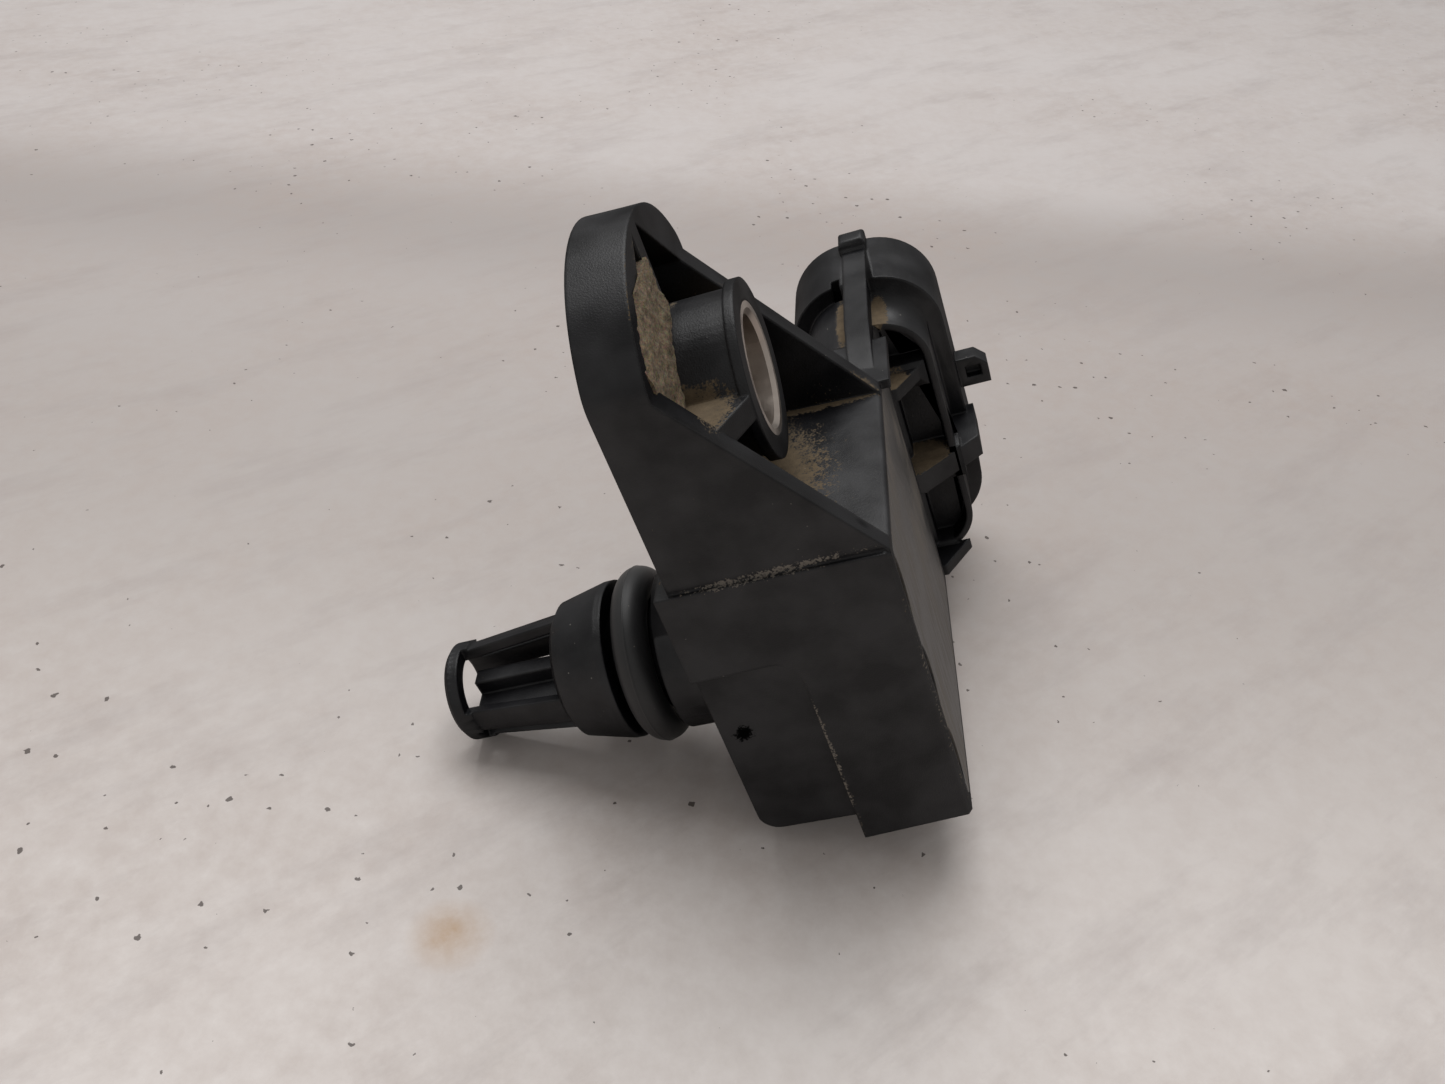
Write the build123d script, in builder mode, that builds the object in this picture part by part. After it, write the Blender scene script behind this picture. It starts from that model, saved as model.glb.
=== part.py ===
from build123d import *

import os
from math import cos, radians, sin, sqrt, tan

os.makedirs("parts", exist_ok=True)

# Manifold pressure and air temperature sensor.
# Z is the spigot's axis and z = 0 the seat on the manifold, +Y points to the bolt and +X out of the socket.
# All sizes are in millimetres and degrees.

# Clearances
glue_fit = 0.08  # between the lid and the recess that it is glued into
ring_fit = 0.03  # between the sealing ring and the floor of its groove
mould_fit = 0.02  # between the bush and the plastic moulded round it
wire_fit = 0.1  # between a lead and the hole that it passes through
bead_fit = 0.1  # between the thermistor's bead and its finger
overlap = 0.5  # how far one moulded form runs into the next, to join it

# Body
body_height = 14.8
body_near = 10.8  # spigot axis to the near wall, at the seat
body_far = 17.0  # spigot axis to the wall under the socket, at the seat
body_front = 12.7  # spigot axis to the wall towards the bolt, at the seat
body_back = 12.5
body_draft = 2.3
body_corner = 0.45
deck_underside = 7.0  # the wide upper part of the body starts here
block_setback = 1.0
block_setback_back = 0.5
block_front = 4.9  # the set-back lower block ends here, towards the bolt
block_far = 10.4
block_corner = 1.7  # the set-back's rounded inner corner on the near wall
block_edge = 1.5  # under the block, away from the bolt
rim_edge = 0.3
lip_start = 10.0  # a low lip stands on the rim, from here to the socket
lip_height = 0.7

# Lid and its recess
rim_near = 0.75  # wall between the lid recess and the body's outside, at the top
rim_far = 1.1
rim_side = 0.7
lid_thickness = 1.2
lid_corner = 1.2
scallop_count = 3
scallop_pitch = 7.7
scallop_length = 5.6
scallop_depth = 1.0
scallop_middle = 1.1  # the middle scallop's place in Y

# Chamber for the electronics
ledge_width = 3.1  # under the lid's edge
chamber_floor = 2.0
shelf_start = 8.6  # spigot axis to the shelf under the terminals
glue_groove_width = 0.9
glue_groove_depth = 0.9
tongue_width = 0.4
tongue_depth = 0.6

# Flange and bolt
bolt_pitch = 20.8
flange_relief = 0.9  # the flange's underside stands this far above the seat
flange_thickness = 3.7
flange_half_width = 10.4
flange_bulge = 1.5  # the end's arc has this much more radius than the half width
flange_draft = 2.3
flange_corner = 3.0
flange_floor = 1.5  # under the pockets beside the boss
flange_border = 0.8  # between the pockets and the flange's end
flange_rib_width = 1.6  # the rib from the boss to the flange's end
boss_radius = 5.4
boss_rim_radius = 5.85
boss_rim_length = 0.7
bush_length = 9.1
bush_outer_radius = 4.34
bush_bore_radius = 3.6
bush_chamfer = 0.3
gusset_thickness = 1.35  # at the rim; the inner faces stand upright
gusset_reach = 4.9  # the gussets end this far beyond the bolt's axis
web_thickness = 1.6
web_offset = 0.7  # from the bolt's axis to the webs' middle
web_drop = 0.1  # from the boss's end down to the webs

# Spigot and cage
spigot_length = 21.4
spigot_radius = 5.95
spigot_bore_radius = 2.5
spigot_bore_flare = 1.0  # from the narrow bore to the cage
groove_top = 3.8  # from the seat to the groove
groove_bottom = 7.7
groove_radius = 3.85
ring_section = 2.75
ring_sides = 16  # the round section is drawn with this many sides, for fewer facets
barrel_land = 0.6
barrel_end = 12.3
barrel_end_radius = 5.05
barrel_edge = 0.55
cage_root_radius = 4.4
cage_tip_radius = 3.62
cage_wall = 0.85
tip_radius = 3.8
tip_band = 1.7
tip_edge = 0.35
window_start = 1.2  # from the tip to the windows
leg_width = 33
leg_directions = (4, 68, 184, 248)
carrier_direction = 184  # the leg that carries the finger
finger_start = 2.0  # from the tip to the finger
finger_root = 0.4  # the finger runs this far up into the barrel
finger_width = 4.0
finger_thickness = 1.3
finger_offset = 0.8  # from the spigot's axis to the finger's middle
finger_rib = 1.5

# Thermistor
bead_radius = 0.85
bead_length = 2.8
bead_end = 3.0  # from the tip to the bead
lead_radius = 0.2
lead_pitch = 1.0

# Socket
socket_drop = 1.5  # from the rim down to the socket's axis
socket_side = 0.1  # the socket's axis in Y
collar_width = 25.8
collar_tall = 12.5
collar_corner = 5.3
collar_start = 25.1
socket_mouth = 32.75
tube_inset = 1.3
tube_start = 19.5
socket_wall = 1.4
cavity_floor = 21.6
undercut_width = 0.7
undercut_depth = 1.2
channel_drop = 0.6  # from the rim down to the channel's floor
key_rib_width = 1.9
key_rib_start = 12.0  # it rises out of the body's wall here
key_rib_full = 18.0  # and has its full height from here
key_rib_rise = 0.15  # above the collar
key_rib_lift = 0.2  # from the socket's axis up to the key rib's middle
nub_width = 2.3
nub_rise = 1.1
nub_length = 2.2
nub_edge = 0.5
latch_width = 2.7
latch_side = 0.8  # the latch's middle in Y
latch_rise = 2.6
latch_start = 27.6
latch_length = 1.7
latch_chamfer = 0.9
latch_hollow = 1.1
brace_sides = (6.5, -2.5, -11.4)  # the three braces behind the tube, in Y
brace_widths = (1.1, 1.9, 1.0)
brace_rises = (3.7, 6.9, 4.1)  # from the socket's axis to the braces' tops
brace_feet = (17.0, 17.3, 16.7)
brace_ends = (19.5, 21.1, 19.8)
brace_foot = 0.9  # height of the braces' feet over the channel's floor

# Terminals
terminal_count = 4
terminal_pitch = 4.6
terminal_width = 1.5
terminal_thickness = 0.8
terminal_tip = 28.0
terminal_chamfer = 0.25
terminal_drop_start = 19.0
terminal_drop_end = 16.4
terminal_inner_end = 9.4
terminal_inner_height = 9.4

# Board and what it carries
board_length = 14.1
board_width = 15.0
board_thickness = 0.9
board_height = 6.2  # from the seat to the board's underside
board_clearance = 0.4  # between the board and the chamber's near wall
post_radius = 0.9
post_inset = 1.5
port_offset = -1.7  # the pressure port's axis in X
port_radius = 0.75
port_chimney_radius = 1.7
port_seal_thickness = 0.3
dam_radius = 2.1
dam_wall = 0.4
dam_height = 2.0
glass_size = 1.9
glass_height = 0.8
die_size = 1.5
die_height = 0.4
gel_height = 1.6
chip_size = 3.6
chip_height = 1.0
chip_place = (4.2, 4.0)
capacitor_size = (1.6, 0.9, 0.8)
capacitor_count = 3
capacitor_pitch = 2.0
capacitor_place = (-4.8, 4.0)
bond_width = 0.5
bond_thickness = 0.12
bond_pad_inset = 0.8
bond_arch = 0.9
bond_lean = 0.5

# Worked out from the sizes above
body_lean = body_height * tan(radians(body_draft))
lid_bottom = body_height - lid_thickness
lid_low_x = -(body_near - body_lean - rim_near)
lid_high_x = body_far - body_lean - rim_far
lid_low_y = -(body_back - body_lean - rim_side)
lid_high_y = body_front - body_lean - rim_side
lid_middle = ((lid_low_x + lid_high_x) / 2, (lid_low_y + lid_high_y) / 2)
lid_length = lid_high_x - lid_low_x
lid_width = lid_high_y - lid_low_y
wall_front = body_front - body_lean
flange_end_radius = flange_half_width + flange_bulge
flange_top = flange_relief + flange_thickness
flange_lean = (body_height - flange_relief) * tan(radians(flange_draft))
pocket_side = flange_half_width - flange_lean - gusset_thickness
pocket_end = bolt_pitch + flange_end_radius - flange_border
web_middle = bolt_pitch + web_offset
gusset_foot = bolt_pitch + gusset_reach
gusset_slope = (body_height - flange_top) / (gusset_foot - wall_front)
socket_height = body_height - socket_drop
channel_floor = body_height - channel_drop
collar_top = socket_height + collar_tall / 2
collar_side = socket_side + collar_width / 2
key_rib_height = socket_height + key_rib_lift
ring_centre_radius = groove_radius + ring_fit + ring_section / 2
ring_place = -(groove_top + groove_bottom) / 2
bead_x = -finger_offset + finger_thickness / 2 + bead_fit + bead_radius
board_top = board_height + board_thickness
board_low_x = lid_low_x + ledge_width + board_clearance
board_middle = board_low_x + board_length / 2
shelf_height = terminal_inner_height - terminal_thickness / 2
terminal_places = [
    socket_side + terminal_pitch * (number - (terminal_count - 1) / 2) for number in range(terminal_count)
]
scallop_places = [
    scallop_middle + scallop_pitch * (number - (scallop_count - 1) / 2) for number in range(scallop_count)
]


def socket_outline(x, inset):
    """The socket's rounded outline across X, drawn in from the collar's outside."""
    with BuildSketch(Plane.YZ.offset(x)) as drawn:
        with Locations((socket_side, socket_height)):
            RectangleRounded(collar_width - 2 * inset, collar_tall - 2 * inset, collar_corner - inset)
    return drawn.sketch


def socket_ring(x, outer_inset, inner_inset):
    """The band between two of the socket's outlines."""
    with BuildSketch(Plane.YZ.offset(x)) as drawn:
        add(socket_outline(x, outer_inset))
        add(socket_outline(x, inner_inset), mode=Mode.SUBTRACT)
    return drawn.sketch


def lid_outline(z, inset):
    """The lid recess's rounded outline at height z, drawn in by an inset."""
    with BuildSketch(Plane.XY.offset(z)) as drawn:
        with Locations(lid_middle):
            RectangleRounded(lid_length - 2 * inset, lid_width - 2 * inset, lid_corner)
    return drawn.sketch


def lid_ring(z, outer_inset, inner_inset):
    """The band between two of the lid's outlines."""
    with BuildSketch(Plane.XY.offset(z)) as drawn:
        add(lid_outline(z, outer_inset))
        add(lid_outline(z, inner_inset), mode=Mode.SUBTRACT)
    return drawn.sketch


def flange_outline(z):
    """The flange's outline at height z, from the spigot's axis to its rounded end."""
    corner_y = bolt_pitch + sqrt(flange_end_radius**2 - flange_half_width**2)
    with BuildSketch(Plane.XY.offset(z)) as drawn:
        with BuildLine():
            Line((-flange_half_width, 0), (flange_half_width, 0))
            Line((flange_half_width, 0), (flange_half_width, corner_y))
            ThreePointArc(
                (flange_half_width, corner_y),
                (0, bolt_pitch + flange_end_radius),
                (-flange_half_width, corner_y),
            )
            Line((-flange_half_width, corner_y), (-flange_half_width, 0))
        make_face()
        fillet(drawn.vertices().group_by(Axis.Y)[-1], radius=flange_corner)
    return drawn.sketch


# The two side walls that brace the body to the flange
with BuildPart() as gussets:
    extrude(flange_outline(flange_relief), amount=body_height - flange_relief, taper=flange_draft)
    with BuildSketch(Plane.XY.offset(flange_relief)):
        Rectangle(2 * pocket_side, 3 * gusset_foot)
    extrude(amount=body_height, mode=Mode.SUBTRACT)
    with BuildSketch(Plane.YZ):
        with BuildLine():
            Polyline(
                (0, flange_relief),
                (gusset_foot, flange_relief),
                (gusset_foot, flange_top),
                (wall_front, body_height),
                (0, body_height),
                close=True,
            )
        make_face()
    extrude(amount=body_far, both=True, mode=Mode.INTERSECT)

# The flange, with pockets round the boss and a rib from the boss to its end
with BuildPart() as flange:
    extrude(flange_outline(flange_relief), amount=flange_thickness, taper=flange_draft)
    with BuildSketch(Plane.XY.offset(flange_relief + flange_floor)):
        with BuildLine():
            Polyline(
                (-pocket_side, 0),
                (-pocket_side, gusset_foot),
                (-flange_rib_width / 2, pocket_end),
                (flange_rib_width / 2, pocket_end),
                (pocket_side, gusset_foot),
                (pocket_side, 0),
                close=True,
            )
        make_face()
    extrude(amount=flange_thickness, mode=Mode.SUBTRACT)
    with Locations((0, bolt_pitch, flange_relief)):
        Box(
            flange_rib_width,
            pocket_end + overlap - bolt_pitch,
            flange_thickness,
            align=(Align.CENTER, Align.MIN, Align.MIN),
        )

# The windows between the cage's four legs
with BuildPart() as windows:
    with BuildSketch(Plane.XY.offset(-(spigot_length - window_start))):
        Circle(2 * tip_radius)
        for direction in leg_directions:
            reach = 4 * tip_radius
            low = radians(direction - leg_width / 2)
            high = radians(direction + leg_width / 2)
            with BuildLine():
                Polyline(
                    (0, 0),
                    (reach * cos(low), reach * sin(low)),
                    (reach * cos(high), reach * sin(high)),
                    close=True,
                )
            make_face(mode=Mode.SUBTRACT)
    extrude(amount=spigot_length - window_start - barrel_end)

# The flat finger inside the cage, and the rib that ties it to one leg
with BuildPart() as finger:
    with BuildSketch(Plane.XY.offset(-(spigot_length - finger_start))):
        with Locations((-finger_offset, 0)):
            Rectangle(finger_thickness, finger_width)
        with Locations((-finger_offset, 0)):
            Rectangle(cage_root_radius, finger_rib, align=(Align.MAX, Align.CENTER))
    extrude(amount=spigot_length - barrel_end - finger_start + finger_root)
    with BuildSketch(Plane.XZ):
        with BuildLine():
            Polyline(
                (0, -spigot_length),
                (cage_tip_radius - cage_wall / 2, -spigot_length),
                (cage_tip_radius - cage_wall / 2, -(spigot_length - tip_band)),
                (cage_root_radius - cage_wall / 2, -barrel_end),
                (cage_root_radius - cage_wall / 2, 0),
                (0, 0),
                close=True,
            )
        make_face()
    revolve(axis=Axis.Z, mode=Mode.INTERSECT)

# The socket: a tube, a collar round its mouth and the cavity for the plug
with BuildPart() as socket:
    extrude(socket_outline(lid_high_x, tube_inset), amount=socket_mouth - lid_high_x)
    extrude(socket_outline(collar_start, 0), amount=socket_mouth - collar_start)
    extrude(
        socket_ring(collar_start, tube_inset - undercut_width, tube_inset),
        amount=undercut_depth,
        mode=Mode.SUBTRACT,
    )
    # the open channel between the lid's rim and the tube
    with Locations((0, 0, channel_floor)):
        Box(
            2 * tube_start,
            2 * collar_width,
            collar_tall,
            align=(Align.CENTER, Align.CENTER, Align.MIN),
            mode=Mode.SUBTRACT,
        )
    # three braces rise from the rim to the tube, and the middle one runs on to the collar
    for side, width, rise, foot, end in zip(
        brace_sides, brace_widths, brace_rises, brace_feet, brace_ends
    ):
        with BuildSketch(Plane.XZ.offset(-side)):
            with BuildLine():
                Polyline(
                    (foot, channel_floor - overlap),
                    (foot, channel_floor + brace_foot),
                    (end, socket_height + rise),
                    (end, channel_floor - overlap),
                    close=True,
                )
            make_face()
        extrude(amount=width / 2, both=True)
    with Locations((brace_ends[1], brace_sides[1], socket_height)):
        Box(
            collar_start + undercut_depth - brace_ends[1],
            brace_widths[1],
            brace_rises[1],
            align=(Align.MIN, Align.CENTER, Align.MIN),
        )
    # the key rib on the side towards the bolt, and its nub at the mouth
    with BuildSketch(Plane.XY.offset(key_rib_height)):
        with BuildLine():
            Polyline(
                (key_rib_start, wall_front - overlap),
                (key_rib_start, wall_front),
                (key_rib_full, collar_side + key_rib_rise),
                (socket_mouth, collar_side + key_rib_rise),
                (socket_mouth, collar_side - tube_inset - overlap),
                close=True,
            )
        make_face()
    extrude(amount=key_rib_width / 2, both=True)
    extrude(
        socket_outline(cavity_floor, tube_inset + socket_wall),
        amount=socket_mouth - cavity_floor,
        mode=Mode.SUBTRACT,
    )

# The latch on the lid's side of the collar
with BuildPart() as latch:
    with BuildSketch(Plane.YZ.offset(latch_start)):
        with BuildLine():
            Polyline(
                (latch_side - latch_width / 2, collar_top - overlap),
                (latch_side - latch_width / 2, collar_top + latch_rise),
                (latch_side + latch_width / 2 - latch_chamfer, collar_top + latch_rise),
                (latch_side + latch_width / 2, collar_top + latch_rise - latch_chamfer),
                (latch_side + latch_width / 2, collar_top - overlap),
                close=True,
            )
        make_face()
    extrude(amount=latch_length)
    with BuildSketch(Plane.YZ.offset(latch_start)):
        with Locations((latch_side, collar_top + latch_rise / 2)):
            Rectangle(latch_hollow, latch_rise / 2)
    extrude(amount=latch_length / 2, mode=Mode.SUBTRACT)

# The nub over the key rib at the mouth
with BuildPart() as nub:
    with Locations((socket_mouth, collar_side - overlap, key_rib_height)):
        Box(nub_length, nub_rise + overlap, nub_width, align=(Align.MAX, Align.MIN, Align.CENTER))
    fillet(nub.edges().group_by(Axis.Y)[-1], radius=nub_edge)

# Terminals: four flat strips, bent down from the socket to the shelf in the chamber
terminals = []
for number, side in enumerate(terminal_places, start=1):
    half = terminal_thickness / 2
    with BuildPart() as terminal:
        with BuildSketch(Plane.XZ.offset(-side)):
            with BuildLine():
                Polyline(
                    (terminal_tip, socket_height + half),
                    (terminal_drop_start, socket_height + half),
                    (terminal_drop_end, terminal_inner_height + half),
                    (terminal_inner_end, terminal_inner_height + half),
                    (terminal_inner_end, terminal_inner_height - half),
                    (terminal_drop_end + half, terminal_inner_height - half),
                    (terminal_drop_start + half, socket_height - half),
                    (terminal_tip, socket_height - half),
                    close=True,
                )
            make_face()
        extrude(amount=terminal_width / 2, both=True)
        chamfer(terminal.faces().sort_by(Axis.X)[-1].edges(), length=terminal_chamfer)
    terminal.part.label = f"terminal_{number}"
    terminals.append(terminal.part)

# Housing: everything that is moulded in one shot
with BuildPart() as housing:
    with BuildSketch():
        with Locations(((body_far - body_near) / 2, (body_front - body_back) / 2)):
            Rectangle(body_far + body_near, body_front + body_back)
    extrude(amount=body_height, taper=body_draft)
    fillet(housing.edges().group_by(Axis.Z)[1], radius=body_corner)
    chamfer(housing.faces().sort_by(Axis.Z)[-1].edges(), length=rim_edge)
    # the lower block stands back from the deck above it
    with BuildSketch():
        with Locations((0, -body_back)):
            Rectangle(3 * body_far, 2 * block_setback_back)
        with Locations((block_far, 0)):
            Rectangle(body_far, 3 * body_back, align=(Align.MIN, Align.CENTER))
    extrude(amount=deck_underside, mode=Mode.SUBTRACT)
    with BuildSketch(Plane.YZ.offset(-body_near)):
        with Locations((block_front, deck_underside)):
            RectangleRounded(3 * body_back, 3 * body_back, block_corner, align=(Align.MAX, Align.MAX))
    extrude(amount=block_setback, mode=Mode.SUBTRACT)
    fillet(
        housing.edges().filter_by(Axis.X).group_by(Axis.Z)[0].sort_by(Axis.Y)[0],
        radius=block_edge,
    )
    # the lip on the rim, over the wall towards the bolt
    with Locations((body_far - body_lean, wall_front, body_height - overlap)):
        Box(
            body_far - body_lean - lip_start,
            rim_side,
            lip_height + overlap,
            align=(Align.MAX, Align.MAX, Align.MIN),
        )
    # flange, side walls, boss and the webs beside it
    add(flange.part)
    add(gussets.part)
    with BuildSketch():
        with Locations((0, bolt_pitch)):
            Circle(boss_radius)
    extrude(amount=bush_length)
    with BuildSketch(Plane.XY.offset(bush_length - boss_rim_length)):
        with Locations((0, bolt_pitch)):
            Circle(boss_rim_radius)
    extrude(amount=boss_rim_length)
    with BuildSketch(Plane.XZ.offset(-web_middle)):
        with BuildLine():
            edge = body_height - gusset_slope * (web_middle + web_thickness / 2 - wall_front)
            Polyline(
                (-pocket_side - overlap, flange_relief),
                (-pocket_side - overlap, edge),
                (-boss_rim_radius, bush_length - web_drop),
                (boss_rim_radius, bush_length - web_drop),
                (pocket_side + overlap, edge),
                (pocket_side + overlap, flange_relief),
                close=True,
            )
        make_face()
    extrude(amount=web_thickness / 2, both=True)
    add(socket.part)
    add(latch.part)
    add(nub.part)
    # spigot, groove, barrel and cage
    with BuildSketch(Plane.XZ):
        with BuildLine():
            Polyline(
                (0, overlap),
                (spigot_radius, overlap),
                (spigot_radius, -groove_top),
                (groove_radius, -groove_top),
                (groove_radius, -groove_bottom),
                (spigot_radius, -groove_bottom),
                (spigot_radius, -groove_bottom - barrel_land),
                (barrel_end_radius, -barrel_end),
                (cage_root_radius, -barrel_end),
                (cage_tip_radius, -(spigot_length - tip_band)),
                (tip_radius, -(spigot_length - tip_band)),
                (tip_radius, -(spigot_length - tip_edge)),
                (tip_radius - tip_edge, -spigot_length),
                (0, -spigot_length),
                close=True,
            )
        profile = make_face()
        barrel_corner = profile.vertices().sort_by_distance((barrel_end_radius, -barrel_end))[0]
        chamfer(barrel_corner, length=barrel_edge)
    revolve(axis=Axis.Z)
    # the spigot's bore, wider inside the cage
    with BuildSketch(Plane.XZ):
        with BuildLine():
            Polyline(
                (0, 0),
                (spigot_bore_radius, 0),
                (spigot_bore_radius, -barrel_end + spigot_bore_flare),
                (cage_root_radius - cage_wall, -barrel_end),
                (cage_tip_radius - cage_wall, -(spigot_length - tip_band)),
                (cage_tip_radius - cage_wall, -spigot_length),
                (0, -spigot_length),
                close=True,
            )
        make_face()
    revolve(axis=Axis.Z, mode=Mode.SUBTRACT)
    add(windows.part, mode=Mode.SUBTRACT)
    add(finger.part, rotation=(0, 0, carrier_direction - 180))
    # the chamber and its shelf, open to the top until the lid closes it
    extrude(lid_outline(lid_bottom, 0), amount=lid_thickness + overlap, mode=Mode.SUBTRACT)
    extrude(
        lid_outline(shelf_height, ledge_width), amount=body_height - shelf_height, mode=Mode.SUBTRACT
    )
    with BuildSketch(Plane.XY.offset(chamber_floor)):
        add(lid_outline(chamber_floor, ledge_width))
        with Locations((shelf_start, 0)):
            Rectangle(body_far, 3 * body_back, align=(Align.MIN, Align.CENTER), mode=Mode.SUBTRACT)
    extrude(amount=shelf_height, mode=Mode.SUBTRACT)
    extrude(
        lid_ring(
            lid_bottom - glue_groove_depth,
            (ledge_width - glue_groove_width) / 2,
            (ledge_width + glue_groove_width) / 2,
        ),
        amount=glue_groove_depth,
        mode=Mode.SUBTRACT,
    )
    # the chimney under the pressure cell, and the posts under the board
    with BuildSketch(Plane.XY.offset(chamber_floor)):
        with Locations((port_offset, 0)):
            Circle(port_chimney_radius)
    extrude(amount=board_height - chamber_floor - port_seal_thickness)
    with BuildSketch(Plane.XY.offset(chamber_floor)):
        with Locations((board_middle, 0)):
            with GridLocations(board_length - 2 * post_inset, board_width - 2 * post_inset, 2, 2):
                Circle(post_radius)
    extrude(amount=board_height - chamber_floor)
    with BuildSketch(Plane.XY.offset(-overlap)):
        with Locations((port_offset, 0)):
            Circle(port_radius)
        with Locations((bead_x, -lead_pitch / 2), (bead_x, lead_pitch / 2)):
            Circle(lead_radius + wire_fit)
    extrude(amount=board_height + overlap, mode=Mode.SUBTRACT)
    # the hole that the bush is moulded into
    with BuildSketch():
        with Locations((0, bolt_pitch)):
            Circle(bush_outer_radius + mould_fit)
    extrude(amount=bush_length, mode=Mode.SUBTRACT)
    for piece in terminals:
        add(piece, mode=Mode.SUBTRACT)

# Lid: a flat plate with scallops on its near edge and a tongue that dips into the glue
with BuildPart() as lid:
    extrude(lid_outline(lid_bottom, glue_fit), amount=lid_thickness)
    extrude(
        lid_ring(
            lid_bottom - tongue_depth,
            (ledge_width - tongue_width) / 2,
            (ledge_width + tongue_width) / 2,
        ),
        amount=tongue_depth,
    )
    scallop_radius = (scallop_length**2 / 4 + scallop_depth**2) / (2 * scallop_depth)
    with BuildSketch(Plane.XY.offset(lid_bottom)):
        for place in scallop_places:
            with Locations((lid_low_x + glue_fit + scallop_depth - scallop_radius, place)):
                Circle(scallop_radius)
    extrude(amount=lid_thickness, mode=Mode.SUBTRACT)

# Lid seal: the bead of adhesive that fills the groove round the tongue
with BuildPart() as lid_seal:
    extrude(
        lid_ring(
            lid_bottom - glue_groove_depth,
            (ledge_width - glue_groove_width) / 2,
            (ledge_width + glue_groove_width) / 2,
        ),
        amount=glue_groove_depth,
    )
    add(lid.part, mode=Mode.SUBTRACT)

# Bush: the steel sleeve that takes the bolt's load
with BuildPart() as bush:
    with BuildSketch():
        with Locations((0, bolt_pitch)):
            Circle(bush_outer_radius)
            Circle(bush_bore_radius, mode=Mode.SUBTRACT)
    extrude(amount=bush_length)
    rims = bush.edges().filter_by(GeomType.CIRCLE).sort_by(SortBy.RADIUS)[:2]
    chamfer(rims, length=bush_chamfer)

# Sealing ring
with BuildPart() as sealing_ring:
    with BuildSketch(Plane.XZ):
        with Locations((ring_centre_radius, ring_place)):
            RegularPolygon(
                ring_section / 2, ring_sides, major_radius=False, rotation=180 / ring_sides
            )
    revolve(axis=Axis.Z)

# Thermistor: an epoxy bead behind the finger, with two leads up through the spigot to the board
bead_low = -(spigot_length - bead_end)
with BuildPart() as thermistor:
    with BuildSketch(Plane.XZ):
        with BuildLine():
            RadiusArc((bead_x + bead_radius, bead_low + bead_radius), (bead_x, bead_low), bead_radius)
            Polyline(
                (bead_x, bead_low),
                (bead_x, bead_low + bead_length),
                (bead_x + bead_radius, bead_low + bead_length),
                (bead_x + bead_radius, bead_low + bead_radius),
            )
        make_face()
    revolve(axis=Axis((bead_x, 0, 0), (0, 0, 1)))

thermistor_leads = []
for number, side in enumerate((-lead_pitch / 2, lead_pitch / 2), start=1):
    with BuildPart() as lead:
        with BuildSketch(Plane.XY.offset(bead_low + bead_length)):
            with Locations((bead_x, side)):
                Circle(lead_radius)
        extrude(amount=board_top + lead_radius - bead_low - bead_length)
    lead.part.label = f"thermistor_lead_{number}"
    thermistor_leads.append(lead.part)

# Board: a ceramic plate on four posts, with holes for the port and the leads
with BuildPart() as circuit_board:
    with BuildSketch(Plane.XY.offset(board_height)):
        with Locations((board_middle, 0)):
            Rectangle(board_length, board_width)
        with Locations((port_offset, 0)):
            Circle(port_radius, mode=Mode.SUBTRACT)
        with Locations((bead_x, -lead_pitch / 2), (bead_x, lead_pitch / 2)):
            Circle(lead_radius + wire_fit, mode=Mode.SUBTRACT)
    extrude(amount=board_thickness)

# Port seal: a flat ring between the chimney and the board
with BuildPart() as port_seal:
    with BuildSketch(Plane.XY.offset(board_height - port_seal_thickness)):
        with Locations((port_offset, 0)):
            Circle(port_chimney_radius)
            Circle(port_radius, mode=Mode.SUBTRACT)
    extrude(amount=port_seal_thickness)

# Pressure cell: a drilled glass block with the silicon die on it
with BuildPart() as glass_block:
    with BuildSketch(Plane.XY.offset(board_top)):
        with Locations((port_offset, 0)):
            Rectangle(glass_size, glass_size)
            Circle(port_radius / 2, mode=Mode.SUBTRACT)
    extrude(amount=glass_height)

with BuildPart() as pressure_die:
    with BuildSketch(Plane.XY.offset(board_top + glass_height)):
        with Locations((port_offset, 0)):
            Rectangle(die_size, die_size)
    extrude(amount=die_height)

# Dam: the ring that keeps the gel round the cell
with BuildPart() as dam_ring:
    with BuildSketch(Plane.XY.offset(board_top)):
        with Locations((port_offset, 0)):
            Circle(dam_radius)
            Circle(dam_radius - dam_wall, mode=Mode.SUBTRACT)
    extrude(amount=dam_height)

# Gel: soft silicone that covers the die and its glass
with BuildPart() as protective_gel:
    with BuildSketch(Plane.XY.offset(board_top)):
        with Locations((port_offset, 0)):
            Circle(dam_radius - dam_wall)
    extrude(amount=gel_height)
    with BuildSketch(Plane.XY.offset(board_top)):
        with Locations((port_offset, 0)):
            Rectangle(glass_size, glass_size)
    extrude(amount=glass_height, mode=Mode.SUBTRACT)
    add(pressure_die.part, mode=Mode.SUBTRACT)

# Signal chip and capacitors on the board
with BuildPart() as signal_chip:
    with BuildSketch(Plane.XY.offset(board_top)):
        with Locations(chip_place):
            Rectangle(chip_size, chip_size)
    extrude(amount=chip_height)

capacitors = []
for number in range(capacitor_count):
    with BuildPart() as capacitor:
        with BuildSketch(Plane.XY.offset(board_top)):
            with Locations((capacitor_place[0], capacitor_place[1] - capacitor_pitch * number)):
                Rectangle(capacitor_size[0], capacitor_size[1])
        extrude(amount=capacitor_size[2])
    capacitor.part.label = f"capacitor_{number + 1}"
    capacitors.append(capacitor.part)

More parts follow.
